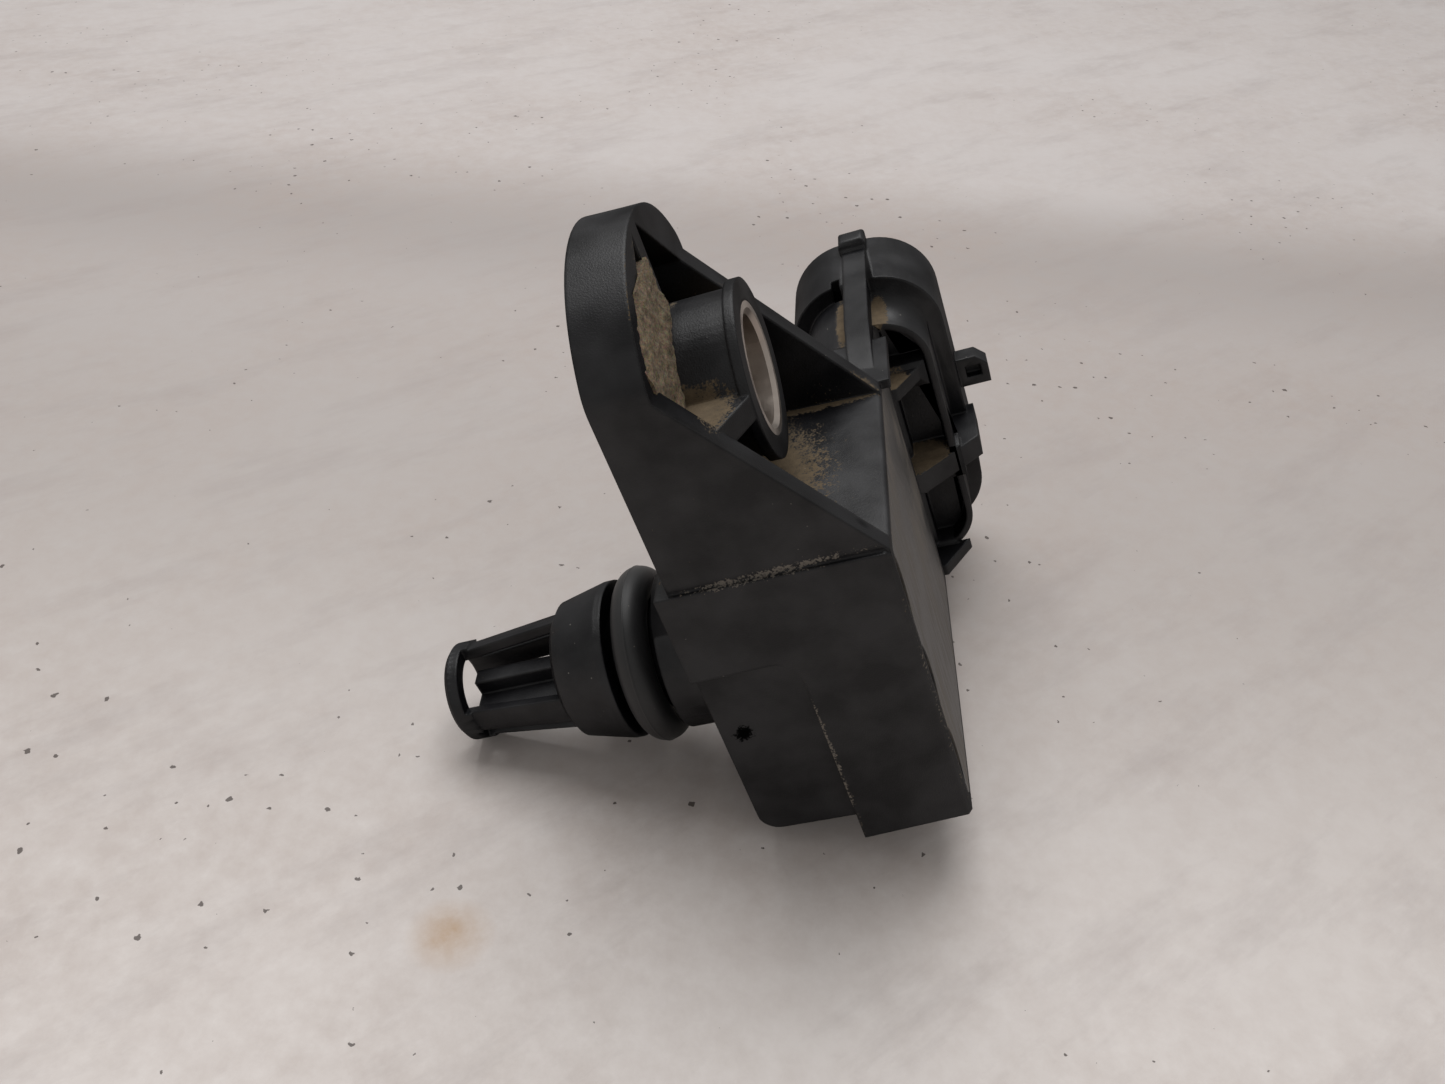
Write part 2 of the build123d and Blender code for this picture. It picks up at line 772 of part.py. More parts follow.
# Bond ribbons: from each terminal's inner end down to a pad at the board's edge
pad_x = board_low_x + board_length - bond_pad_inset
bond_x = terminal_inner_end + bond_pad_inset
bond_low = terminal_inner_height + terminal_thickness / 2
bond_top = bond_low + bond_arch
with BuildPart() as bond_ribbons:
    for side in terminal_places:
        with BuildSketch(Plane.XZ.offset(-side)):
            with BuildLine():
                Polyline(
                    (pad_x, board_top),
                    (pad_x + bond_lean, bond_top),
                    (bond_x - bond_lean, bond_top),
                    (bond_x, bond_low),
                    (bond_x - bond_thickness, bond_low),
                    (bond_x - bond_lean, bond_top - bond_thickness),
                    (pad_x + bond_lean, bond_top - bond_thickness),
                    (pad_x + bond_thickness, board_top),
                    close=True,
                )
            make_face()
        extrude(amount=bond_width / 2, both=True)

housing.part.label = "housing"
lid.part.label = "lid"
lid_seal.part.label = "lid_seal"
bush.part.label = "bush"
sealing_ring.part.label = "sealing_ring"
thermistor.part.label = "thermistor"
circuit_board.part.label = "circuit_board"
port_seal.part.label = "port_seal"
glass_block.part.label = "glass_block"
pressure_die.part.label = "pressure_die"
dam_ring.part.label = "dam_ring"
protective_gel.part.label = "protective_gel"
signal_chip.part.label = "signal_chip"
bond_ribbons.part.label = "bond_ribbons"

export_step(housing.part, "parts/housing.step")
export_step(lid.part, "parts/lid.step")
export_step(lid_seal.part, "parts/lid_seal.step")
export_step(bush.part, "parts/bush.step")
export_step(sealing_ring.part, "parts/sealing_ring.step")
export_step(thermistor.part, "parts/thermistor.step")
export_step(circuit_board.part, "parts/circuit_board.step")
export_step(port_seal.part, "parts/port_seal.step")
export_step(glass_block.part, "parts/glass_block.step")
export_step(pressure_die.part, "parts/pressure_die.step")
export_step(dam_ring.part, "parts/dam_ring.step")
export_step(protective_gel.part, "parts/protective_gel.step")
export_step(signal_chip.part, "parts/signal_chip.step")
export_step(bond_ribbons.part, "parts/bond_ribbons.step")
for piece in terminals + thermistor_leads + capacitors:
    export_step(piece, f"parts/{piece.label}.step")
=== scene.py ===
import bpy
from mathutils import Matrix, Vector


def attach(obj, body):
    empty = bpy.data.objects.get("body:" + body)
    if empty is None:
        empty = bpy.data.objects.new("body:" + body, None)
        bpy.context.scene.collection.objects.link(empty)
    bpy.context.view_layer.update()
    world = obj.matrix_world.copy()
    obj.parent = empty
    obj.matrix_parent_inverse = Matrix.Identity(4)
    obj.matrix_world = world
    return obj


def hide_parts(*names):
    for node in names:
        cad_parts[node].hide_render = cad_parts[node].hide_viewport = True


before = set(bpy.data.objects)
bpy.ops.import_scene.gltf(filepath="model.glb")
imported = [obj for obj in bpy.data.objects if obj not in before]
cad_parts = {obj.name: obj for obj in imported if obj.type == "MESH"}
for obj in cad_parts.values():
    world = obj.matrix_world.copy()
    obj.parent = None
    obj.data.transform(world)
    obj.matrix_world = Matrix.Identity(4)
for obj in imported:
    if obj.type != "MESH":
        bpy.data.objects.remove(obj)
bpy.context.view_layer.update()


# Housing
# The body, flange, bolt boss, spigot with its cage, and plug socket are one injection moulding in
# black glass-filled polyester. The edges have a small mould radius. Sandy road dust has settled
# on the sides that face the bolt, which were uppermost in the engine, and in the corners there.

mm = 0.001


def colour(text):
    """An sRGB hex colour as the linear values that a shader takes."""
    parts = [int(text[i : i + 2], 16) / 255 for i in (1, 3, 5)]
    return [c / 12.92 if c <= 0.04045 else ((c + 0.055) / 1.055) ** 2.4 for c in parts] + [1.0]


def blank(name):
    """A material with an empty node tree."""
    made = bpy.data.materials.new(name)
    made.use_nodes = True
    made.node_tree.nodes.clear()
    return made


def node(material, kind, settings=None, **links):
    """Adds one node. Settings go to its properties, and links to its inputs, as values or sockets.

    A link is named for its input, with _ for a space, or i0, i1 and so on for its number.
    """
    made = material.node_tree.nodes.new(kind)
    for name, value in (settings or {}).items():
        setattr(made, name, value)
    for name, value in links.items():
        numbered = name[0] == "i" and name[1:].isdigit()
        key = int(name[1:]) if numbered else name.replace("_", " ")
        if isinstance(value, bpy.types.NodeSocket):
            material.node_tree.links.new(value, made.inputs[key])
        else:
            made.inputs[key].default_value = value
    return made


def dress(piece, material):
    """Gives a piece one material all over."""
    piece.data.materials.clear()
    piece.data.materials.append(material)


# The near wall is set back over the block's lower part, in one flat face up to a rounded corner.
step_low = Vector((-12.0, -1.0, -1.0)) * mm
step_high = Vector((-9.8, 5.6, 7.0)) * mm
step_corner = 1.7 * mm
# Its lower part also ends short of the upper part at the back, with a rounded lower edge.
heel_low = Vector((-12.0, -14.0, -1.0)) * mm
heel_high = Vector((12.0, -10.2, 7.0)) * mm
heel_edge = 1.5 * mm
# The tube's end is cored out between the braces, as thick mouldings are, to keep the walls even.
tube_end = 19.5 * mm
channel_floor = 14.2 * mm
core_wall = 0.55 * mm
core_depth = 1.9 * mm
# a vertex or face this near to a place lies there
near = 0.02 * mm
# the CAD mesh is loose triangles, so equal points are merged, and level triangles become one face
same_point = 0.0005 * mm
flat_angle = 0.002
smooth_angle = 0.4

bpy.ops.object.select_all(action="DESELECT")
bpy.ops.mesh.primitive_cube_add(size=1.0, location=(step_low + step_high) / 2)
step_cutter = bpy.context.object
step_cutter.name = "step"
step_cutter.scale = step_high - step_low
bpy.ops.object.transform_apply(location=True, rotation=True, scale=True)
bpy.ops.object.mode_set(mode="EDIT")
bpy.ops.mesh.select_all(action="DESELECT")
bpy.ops.mesh.select_mode(type="VERT")
bpy.ops.object.mode_set(mode="OBJECT")
for vertex in step_cutter.data.vertices:
    vertex.select = vertex.co.y > 0 and vertex.co.z > 0
bpy.ops.object.mode_set(mode="EDIT")
bpy.ops.mesh.bevel(offset=step_corner, segments=10, affect="EDGES")
bpy.ops.object.mode_set(mode="OBJECT")

bpy.ops.object.select_all(action="DESELECT")
bpy.ops.mesh.primitive_cube_add(size=1.0, location=(heel_low + heel_high) / 2)
heel_cutter = bpy.context.object
heel_cutter.name = "heel"
heel_cutter.scale = heel_high - heel_low
bpy.ops.object.transform_apply(location=True, rotation=True, scale=True)

bpy.ops.object.select_all(action="DESELECT")
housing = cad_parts["housing"].copy()
housing.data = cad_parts["housing"].data.copy()
housing.name = "moulded_housing"
bpy.context.scene.collection.objects.link(housing)
bpy.context.view_layer.objects.active = housing
housing.select_set(True)
bpy.ops.object.mode_set(mode="EDIT")
bpy.ops.mesh.select_all(action="SELECT")
bpy.ops.mesh.remove_doubles(threshold=same_point)
bpy.ops.object.mode_set(mode="OBJECT")
for cutter in (step_cutter, heel_cutter):
    cut = housing.modifiers.new(cutter.name, "BOOLEAN")
    cut.object = cutter
    cut.operation = "DIFFERENCE"
    cut.solver = "EXACT"
    bpy.ops.object.modifier_apply(modifier=cutter.name)
    bpy.data.objects.remove(cutter)
bpy.ops.object.mode_set(mode="EDIT")
bpy.ops.mesh.select_all(action="SELECT")
bpy.ops.mesh.dissolve_limited(angle_limit=flat_angle)
bpy.ops.mesh.select_all(action="DESELECT")
bpy.ops.object.mode_set(mode="OBJECT")
# the heel's lower edge
for vertex in housing.data.vertices:
    vertex.select = abs(vertex.co.y - heel_high.y) < near and abs(vertex.co.z) < near
bpy.ops.object.mode_set(mode="EDIT")
bpy.ops.mesh.bevel(offset=heel_edge, segments=8, affect="EDGES")
bpy.ops.mesh.select_all(action="DESELECT")
bpy.ops.object.mode_set(mode="OBJECT")
# the tube's end over the channel
for face in housing.data.polygons:
    at_end = face.normal.x < -0.99 and abs(face.center.x - tube_end) < near
    face.select = at_end and face.center.z > channel_floor
bpy.ops.object.mode_set(mode="EDIT")
bpy.ops.mesh.select_mode(type="FACE")
bpy.ops.mesh.inset(thickness=core_wall)
bpy.ops.mesh.extrude_region_move(TRANSFORM_OT_translate={"value": (core_depth, 0, 0)})
bpy.ops.mesh.select_mode(type="VERT")
bpy.ops.object.mode_set(mode="OBJECT")
bpy.ops.object.shade_smooth_by_angle(angle=smooth_angle)
# each vertex leans to its largest faces, so flat walls stay flat beside the rounded edges
flats = housing.modifiers.new("flats", "WEIGHTED_NORMAL")
flats.keep_sharp = True
bpy.ops.object.modifier_apply(modifier="flats")
# without these, the long facets of the flange's rounded end show as dark patches
housing.shadow_terminator_geometry_offset = 0.3
housing.shadow_terminator_shading_offset = 0.3
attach(housing, "root")
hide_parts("housing")

# Moulded polyester with glass fibre: near black and satin, with slow clouds of 4 mm and a grain
# of 0.11 mm, which is coarser than the real one so that it shows. Road sand lies on it in patches
# of 0.7 mm and crumbs of 0.17 mm. A scale of n / mm repeats n times in each mm.
polyester = blank("moulded_glass_filled_polyester")
spots = [
    # centre and radii of each dusty place, in mm
    ((0.0, 12.4, 3.5), (10.0, 2.5, 8.5)),  # the body's wall beside the boss
    ((8.6, 12.4, 9.0), (1.0, 2.5, 7.0)),  # its corner with the far side wall
    ((-6.5, 22.5, 5.0), (3.5, 1.4, 3.6)),  # the webs
    ((6.5, 22.5, 5.0), (3.5, 1.4, 3.0)),
    ((-5.0, 29.2, 4.9), (5.0, 4.5, 0.5)),  # the flange's border and rib
    ((1.0, 29.5, 4.9), (2.0, 4.5, 0.5)),
    ((19.4, -1.3, 15.6), (2.6, 1.3, 2.6)),  # the foot of the middle brace
    ((18.0, 7.3, 15.2), (1.8, 1.2, 1.4)),  # the foot of the brace towards the bolt
    ((17.2, -2.0, 14.2), (1.3, 12.0, 0.7)),  # the channel behind the rim
    ((21.0, 11.8, 15.0), (4.5, 1.4, 0.8)),  # both sides of the key rib
    ((21.0, 11.8, 12.1), (4.5, 1.4, 0.7)),
]
edge_lines_with_highlight = [
    # grime that clings along edges, whichever way they face, and a painted highlight along the rim
    # beside the lid
    ((-10.3, 12.6, 8.0), (1.0, 0.45, 9.0)),  # the ledge beside the near side wall
    ((-10.3, -4.0, 7.0), (0.9, 10.0, 0.4)),  # the edge of the block's step
    ((-10.25, 0.0, 14.9), (0.6, 16.0, 0.4)),  # the rim beside the lid: a painted highlight along its edge
    ((-1.5, 29.5, 4.8), (2.5, 3.2, 0.4)),  # the flange's border past the sand
]
place = node(polyester, "ShaderNodeTexCoord")
facing = node(polyester, "ShaderNodeSeparateXYZ", Vector=place.outputs["Normal"])
clouds = node(
    polyester, "ShaderNodeTexNoise", Vector=place.outputs["Object"], Scale=0.25 / mm, Detail=4.0
)
grain = node(
    polyester, "ShaderNodeTexNoise", Vector=place.outputs["Object"], Scale=9 / mm, Detail=2.0
)
tone = node(
    polyester,
    "ShaderNodeMix",
    {"data_type": "RGBA"},
    Factor=clouds.outputs["Fac"],
    A=colour("#080809"),
    B=colour("#1c1c20"),
)
# each place fades out from its centre, and where two places meet the stronger one counts
masks = []
for places in (spots, edge_lines_with_highlight):
    for number, (centre, radii) in enumerate(places):
        offset = node(
            polyester,
            "ShaderNodeVectorMath",
            {"operation": "SUBTRACT"},
            i0=place.outputs["Object"],
            i1=[c * mm for c in centre],
        )
        scaled = node(
            polyester,
            "ShaderNodeVectorMath",
            {"operation": "DIVIDE"},
            i0=offset.outputs[0],
            i1=[r * mm for r in radii],
        )
        reach = node(
            polyester, "ShaderNodeVectorMath", {"operation": "LENGTH"}, i0=scaled.outputs[0]
        )
        amount = node(
            polyester,
            "ShaderNodeMapRange",
            Value=reach.outputs["Value"],
            From_Min=1.15,
            From_Max=0.35,
            To_Max=1.0 if places is spots else 0.46,
        )
        if number:
            amount = node(
                polyester,
                "ShaderNodeMath",
                {"operation": "MAXIMUM"},
                i0=masks.pop().outputs[0],
                i1=amount.outputs[0],
            )
        masks.append(amount)
dusty, grime_and_highlight_mask = masks
# sand only lies where the bolt's side is up, and the grime and the rim's painted highlight follow
# edges whichever way they face
upward = node(
    polyester, "ShaderNodeMapRange", Value=facing.outputs["Y"], From_Min=-0.1, From_Max=0.5
)
fallen = node(
    polyester,
    "ShaderNodeMath",
    {"operation": "MULTIPLY"},
    i0=dusty.outputs[0],
    i1=upward.outputs[0],
)
settled_and_highlit = node(
    polyester, "ShaderNodeMath", {"operation": "MAXIMUM"}, i0=fallen.outputs[0], i1=grime_and_highlight_mask.outputs[0]
)
patches = node(
    polyester,
    "ShaderNodeTexNoise",
    Vector=place.outputs["Object"],
    Scale=1.4 / mm,
    Detail=6.0,
    Roughness=0.75,
)
level = node(
    polyester,
    "ShaderNodeMath",
    {"operation": "ADD"},
    i0=settled_and_highlit.outputs[0],
    i1=patches.outputs["Fac"],
)
crumbs = node(
    polyester, "ShaderNodeTexNoise", Vector=place.outputs["Object"], Scale=6 / mm, Detail=2.0
)
broken = node(
    polyester, "ShaderNodeMath", {"operation": "ADD"}, i0=level.outputs[0], i1=crumbs.outputs["Fac"]
)
cover = node(polyester, "ShaderNodeMapRange", Value=broken.outputs[0], From_Min=1.34, From_Max=1.5)
sand_tone = node(
    polyester,
    "ShaderNodeMix",
    {"data_type": "RGBA"},
    Factor=patches.outputs["Fac"],
    A=colour("#352d24"),
    B=colour("#7f6e56"),
)
clinging_and_highlight = node(polyester, "ShaderNodeMapRange", Value=grime_and_highlight_mask.outputs[0], From_Min=0.1, From_Max=0.3)
dirt_and_highlight_tone = node(
    polyester,
    "ShaderNodeMix",
    {"data_type": "RGBA"},
    Factor=clinging_and_highlight.outputs[0],
    A=sand_tone.outputs[2],
    B=colour("#7f786f"),
)
# dust, edge grime and the painted highlight on the rim, laid over the plastic's tone
dusted = node(
    polyester,
    "ShaderNodeMix",
    {"data_type": "RGBA"},
    Factor=cover.outputs[0],
    A=tone.outputs[2],
    B=dirt_and_highlight_tone.outputs[2],
)
# pale specks of dust, up to 0.12 mm across and about 0.7 mm apart, on the uppermost sides
specks = node(
    polyester,
    "ShaderNodeTexVoronoi",
    Vector=place.outputs["Object"],
    Scale=1.4 / mm,
    Randomness=1.0,
)
chance = node(polyester, "ShaderNodeSeparateColor", Color=specks.outputs["Color"])
width = node(
    polyester,
    "ShaderNodeMapRange",
    Value=chance.outputs["Red"],
    From_Min=0.7,
    From_Max=1.0,
    To_Min=0.0,
    To_Max=0.08,
)
speck = node(
    polyester,
    "ShaderNodeMath",
    {"operation": "LESS_THAN"},
    i0=specks.outputs["Distance"],
    i1=width.outputs[0],
)
on_top = node(
    polyester,
    "ShaderNodeMapRange",
    Value=facing.outputs["Y"],
    From_Min=0.3,
    From_Max=0.8,
    To_Min=0.25,
)
speck_on_top = node(
    polyester,
    "ShaderNodeMath",
    {"operation": "MULTIPLY"},
    i0=speck.outputs[0],
    i1=on_top.outputs[0],
)
speckled = node(
    polyester,
    "ShaderNodeMix",
    {"data_type": "RGBA"},
    Factor=speck_on_top.outputs[0],
    A=dusted.outputs[2],
    B=colour("#8b8780"),
)
# a gouge of 1.5 mm on the block's near face, torn in shreds of 0.4 mm; its black is painted shade
# in the dent's hollow
gouge_centre = (-9.8, -0.5, 1.6)
from_gouge = node(
    polyester,
    "ShaderNodeVectorMath",
    {"operation": "DISTANCE"},
    i0=place.outputs["Object"],
    i1=[c * mm for c in gouge_centre],
)
rim = node(
    polyester,
    "ShaderNodeMapRange",
    Value=from_gouge.outputs["Value"],
    From_Min=1.7 * mm,
    From_Max=0.2 * mm,
    To_Max=0.65,
)
tears = node(
    polyester,
    "ShaderNodeTexNoise",
    Vector=place.outputs["Object"],
    Scale=2.6 / mm,
    Detail=6.0,
    Roughness=0.8,
)
torn = node(
    polyester, "ShaderNodeMath", {"operation": "ADD"}, i0=rim.outputs[0], i1=tears.outputs["Fac"]
)
shaded_gouge = node(polyester, "ShaderNodeMapRange", Value=torn.outputs[0], From_Min=0.92, From_Max=1.02)
# painted shade: the gaps between the rim and the lid's scalloped edge are coloured black, standing
# in for the shade in them
gap_centre = (-8.95, 0.0, 13.5)
gap_radii = (0.8, 14.0, 0.75)
into_gap = node(
    polyester,
    "ShaderNodeVectorMath",
    {"operation": "SUBTRACT"},
    i0=place.outputs["Object"],
    i1=[c * mm for c in gap_centre],
)
gap_scaled = node(
    polyester,
    "ShaderNodeVectorMath",
    {"operation": "DIVIDE"},
    i0=into_gap.outputs[0],
    i1=[r * mm for r in gap_radii],
)
gap_reach = node(
    polyester, "ShaderNodeVectorMath", {"operation": "LENGTH"}, i0=gap_scaled.outputs[0]
)
gap_shade = node(
    polyester, "ShaderNodeMapRange", Value=gap_reach.outputs["Value"], From_Min=1.1, From_Max=0.9
)
gouge_and_gap_shade = node(
    polyester, "ShaderNodeMath", {"operation": "MAXIMUM"}, i0=shaded_gouge.outputs[0], i1=gap_shade.outputs[0]
)
# handling has left the skin glossier in places, and where the gouge and the gaps are painted black
# as shade the skin hardly reflects
handled = node(
    polyester,
    "ShaderNodeMapRange",
    Value=clouds.outputs["Fac"],
    From_Min=0.35,
    From_Max=0.65,
    To_Min=0.42,
    To_Max=0.74,
)
reflects = node(
    polyester,
    "ShaderNodeMix",
    {"data_type": "FLOAT"},
    i0=gouge_and_gap_shade.outputs[0],
    i2=handled.outputs[0],
    i3=0.05,
)
# painted shade: the gouge's hollow and the gaps by the lid turn black
scarred_and_shaded = node(
    polyester,
    "ShaderNodeMix",
    {"data_type": "RGBA"},
    Factor=gouge_and_gap_shade.outputs[0],
    A=speckled.outputs[2],
    B=colour("#030303"),
)
shine = node(
    polyester,
    "ShaderNodeMapRange",
    Value=clouds.outputs["Fac"],
    From_Min=0.3,
    From_Max=0.7,
    To_Min=0.32,
    To_Max=0.48,
)
matt = node(
    polyester, "ShaderNodeMath", {"operation": "MAXIMUM"}, i0=cover.outputs[0], i1=shaded_gouge.outputs[0]
)
dull = node(
    polyester,
    "ShaderNodeMix",
    {"data_type": "FLOAT"},
    i0=matt.outputs[0],
    i2=shine.outputs[0],
    i3=0.95,
)
# the mould's small radius on every edge
rounded = node(polyester, "ShaderNodeBevel", {"samples": 6}, Radius=0.28 * mm)
relief = node(
    polyester,
    "ShaderNodeMix",
    {"data_type": "FLOAT"},
    i0=cover.outputs[0],
    i2=grain.outputs["Fac"],
    i3=patches.outputs["Fac"],
)
rough = node(
    polyester,
    "ShaderNodeBump",
    Height=relief.outputs[0],
    Normal=rounded.outputs["Normal"],
    Strength=0.3,
    Distance=0.05 * mm,
)
skin = node(
    polyester,
    "ShaderNodeBsdfPrincipled",
    Base_Color=scarred_and_shaded.outputs[2],
    Roughness=dull.outputs[0],
    Specular_IOR_Level=reflects.outputs[0],
    IOR=1.42,  # polyester has 1.55, and its skin of fibres and wear reflects less
    Normal=rough.outputs["Normal"],
)
node(polyester, "ShaderNodeOutputMaterial", Surface=skin.outputs[0])
dress(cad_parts["housing"], polyester)
dress(housing, polyester)


# Bush
# A turned steel sleeve, zinc plated, which the housing is moulded round. It carries the bolt's
# clamping force, so its ends stand level with the boss.

# Turned steel under thin zinc: a warm pale grey mirror, blurred round the bore by turning marks
# 0.15 mm apart, and dulled by stains of 2 mm.
steel = blank("turned_zinc_plated_steel")
place = node(steel, "ShaderNodeTexCoord")
turned = node(
    steel, "ShaderNodeMapping", Vector=place.outputs["Object"], Scale=(0.3 / mm, 0.3 / mm, 6.5 / mm)
)
marks = node(steel, "ShaderNodeTexNoise", Vector=turned.outputs[0], Scale=1.0, Detail=3.0)
stain = node(
    steel, "ShaderNodeTexNoise", Vector=place.outputs["Object"], Scale=0.45 / mm, Detail=5.0
)
plating = node(
    steel,
    "ShaderNodeMix",
    {"data_type": "RGBA"},
    Factor=stain.outputs["Fac"],
    A=colour("#9b9189"),
    B=colour("#c4bbb2"),
)
shine = node(
    steel,
    "ShaderNodeMapRange",
    Value=stain.outputs["Fac"],
    From_Min=0.3,
    From_Max=0.7,
    To_Min=0.28,
    To_Max=0.5,
)
rough = node(
    steel, "ShaderNodeBump", Height=marks.outputs["Fac"], Strength=0.25, Distance=0.02 * mm
)
skin = node(
    steel,
    "ShaderNodeBsdfPrincipled",
    Base_Color=plating.outputs[2],
    Metallic=1.0,
    Roughness=shine.outputs[0],
    Normal=rough.outputs["Normal"],
)
node(steel, "ShaderNodeOutputMaterial", Surface=skin.outputs[0])
dress(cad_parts["bush"], steel)


# Sealing ring
# A moulded nitrile rubber ring of round section, stretched over the spigot into its groove. The
# mould's parting line stands as a fine ridge round its outside.

ring_radius = 5.255 * mm
ring_section = 1.375 * mm
ring_height = -5.75 * mm
# how far the parting line's ridge stands out, and how near to it a vertex lies on it
flash = 0.05 * mm
on_line = 0.01 * mm

bpy.ops.object.select_all(action="DESELECT")
bpy.ops.mesh.primitive_torus_add(
    major_segments=160,
    minor_segments=48,
    major_radius=ring_radius,
    minor_radius=ring_section - flash,
    location=(0, 0, ring_height),
)
ring = bpy.context.object
ring.name = "rubber_ring"
bpy.ops.object.transform_apply(location=True, rotation=True, scale=True)
bpy.ops.object.mode_set(mode="EDIT")
bpy.ops.mesh.select_all(action="DESELECT")
bpy.ops.object.mode_set(mode="OBJECT")
for vertex in ring.data.vertices:
    level_with_middle = abs(vertex.co.z - ring_height) < on_line
    vertex.select = level_with_middle and vertex.co.xy.length > ring_radius
bpy.ops.object.mode_set(mode="EDIT")
bpy.ops.mesh.bevel(offset=flash, segments=2, affect="EDGES")
bpy.ops.mesh.select_all(action="DESELECT")
bpy.ops.object.mode_set(mode="OBJECT")
for vertex in ring.data.vertices:
    level_with_middle = abs(vertex.co.z - ring_height) < on_line
    vertex.select = level_with_middle and vertex.co.xy.length > ring_radius
bpy.ops.object.mode_set(mode="EDIT")
outer = (ring_radius + ring_section) / (ring_radius + ring_section - flash)
bpy.ops.transform.resize(value=(outer, outer, 1))
bpy.ops.object.mode_set(mode="OBJECT")
bpy.ops.object.shade_smooth()

# Moulded nitrile rubber: softly matt charcoal with a faint bloom of 2 mm, a skin of 0.14 mm, drawn
# coarser than it is, and pale flecks of lint about 1 mm apart.
rubber = blank("moulded_nitrile_rubber")
place = node(rubber, "ShaderNodeTexCoord")
bloom = node(
    rubber, "ShaderNodeTexNoise", Vector=place.outputs["Object"], Scale=0.5 / mm, Detail=5.0
)
lint = node(
    rubber, "ShaderNodeTexVoronoi", Vector=place.outputs["Object"], Scale=0.9 / mm, Randomness=1.0
)
fleck = node(
    rubber, "ShaderNodeMapRange", Value=lint.outputs["Distance"], From_Min=0.055, From_Max=0.03
)
black = node(
    rubber,
    "ShaderNodeMix",
    {"data_type": "RGBA"},
    Factor=bloom.outputs["Fac"],
    A=colour("#131314"),
    B=colour("#222223"),
)
flecked = node(
    rubber,
    "ShaderNodeMix",
    {"data_type": "RGBA"},
    Factor=fleck.outputs[0],
    A=black.outputs[2],
    B=colour("#5a5550"),
)
pores = node(rubber, "ShaderNodeTexNoise", Vector=place.outputs["Object"], Scale=7 / mm)
rough = node(
    rubber, "ShaderNodeBump", Height=pores.outputs["Fac"], Strength=0.2, Distance=0.03 * mm
)
skin = node(
    rubber,
    "ShaderNodeBsdfPrincipled",
    Base_Color=flecked.outputs[2],
    Roughness=0.5,
    Normal=rough.outputs["Normal"],
)
node(rubber, "ShaderNodeOutputMaterial", Surface=skin.outputs[0])
dress(ring, rubber)
dress(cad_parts["sealing_ring"], rubber)
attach(ring, "root")
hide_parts("sealing_ring")


# Thermistor
# A glass bead thermistor dipped in dark epoxy, held behind the cage's flat finger. Its two tinned
# leads run up through the spigot to the board.

# Dipped epoxy: brown-black and wet-looking, with slow swells of 1.7 mm left by the dip.
epoxy = blank("dipped_dark_epoxy")
place = node(epoxy, "ShaderNodeTexCoord")
flow = node(epoxy, "ShaderNodeTexNoise", Vector=place.outputs["Object"], Scale=0.6 / mm, Detail=2.0)
dip = node(
    epoxy,
    "ShaderNodeMix",
    {"data_type": "RGBA"},
    Factor=flow.outputs["Fac"],
    A=colour("#231b16"),
    B=colour("#3a3029"),
)
swell = node(epoxy, "ShaderNodeBump", Height=flow.outputs["Fac"], Strength=0.3, Distance=0.1 * mm)
skin = node(
    epoxy,
    "ShaderNodeBsdfPrincipled",
    Base_Color=dip.outputs[2],
    Roughness=0.28,
    Normal=swell.outputs["Normal"],
)
node(epoxy, "ShaderNodeOutputMaterial", Surface=skin.outputs[0])
dress(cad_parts["thermistor"], epoxy)

# Hot-dipped tin: a bright, slightly yellow grey, uneven over 0.8 mm.
tin = blank("hot_tinned_metal")
place = node(tin, "ShaderNodeTexCoord")
wash = node(tin, "ShaderNodeTexNoise", Vector=place.outputs["Object"], Scale=1.2 / mm, Detail=4.0)
tinned = node(
    tin,
    "ShaderNodeMix",
    {"data_type": "RGBA"},
    Factor=wash.outputs["Fac"],
    A=colour("#a7a5a1"),
    B=colour("#cfccc6"),
)
rough = node(tin, "ShaderNodeBump", Height=wash.outputs["Fac"], Strength=0.2, Distance=0.02 * mm)
skin = node(
    tin,
    "ShaderNodeBsdfPrincipled",
    Base_Color=tinned.outputs[2],
    Metallic=1.0,
    Roughness=0.33,
    Normal=rough.outputs["Normal"],
)
node(tin, "ShaderNodeOutputMaterial", Surface=skin.outputs[0])
for number in (1, 2):
    dress(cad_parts[f"thermistor_lead_{number}"], tin)


# Terminals
# Four tin-plated bronze blades, stamped from strip and moulded into the wall under the socket.
# They share the leads' tin, which is bright and a little uneven.

for number in (1, 2, 3, 4):
    dress(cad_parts[f"terminal_{number}"], tin)


# Circuit board
# A white alumina plate with printed and fired glaze, which carries the pressure cell, a moulded
# chip and three capacitors. It is glued to four posts inside the chamber.

# Fired alumina: a warm white with a faint speckle of 0.33 mm, half matt.
alumina = blank("fired_alumina_ceramic")
place = node(alumina, "ShaderNodeTexCoord")
fired = node(
    alumina, "ShaderNodeTexNoise", Vector=place.outputs["Object"], Scale=3 / mm, Detail=4.0
)
ceramic = node(
    alumina,
    "ShaderNodeMix",
    {"data_type": "RGBA"},
    Factor=fired.outputs["Fac"],
    A=colour("#d2cfc6"),
    B=colour("#e6e3da"),
)
rough = node(
    alumina, "ShaderNodeBump", Height=fired.outputs["Fac"], Strength=0.2, Distance=0.02 * mm
)
skin = node(
    alumina,
    "ShaderNodeBsdfPrincipled",
    Base_Color=ceramic.outputs[2],
    Roughness=0.45,
    Normal=rough.outputs["Normal"],
)
node(alumina, "ShaderNodeOutputMaterial", Surface=skin.outputs[0])
dress(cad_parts["circuit_board"], alumina)

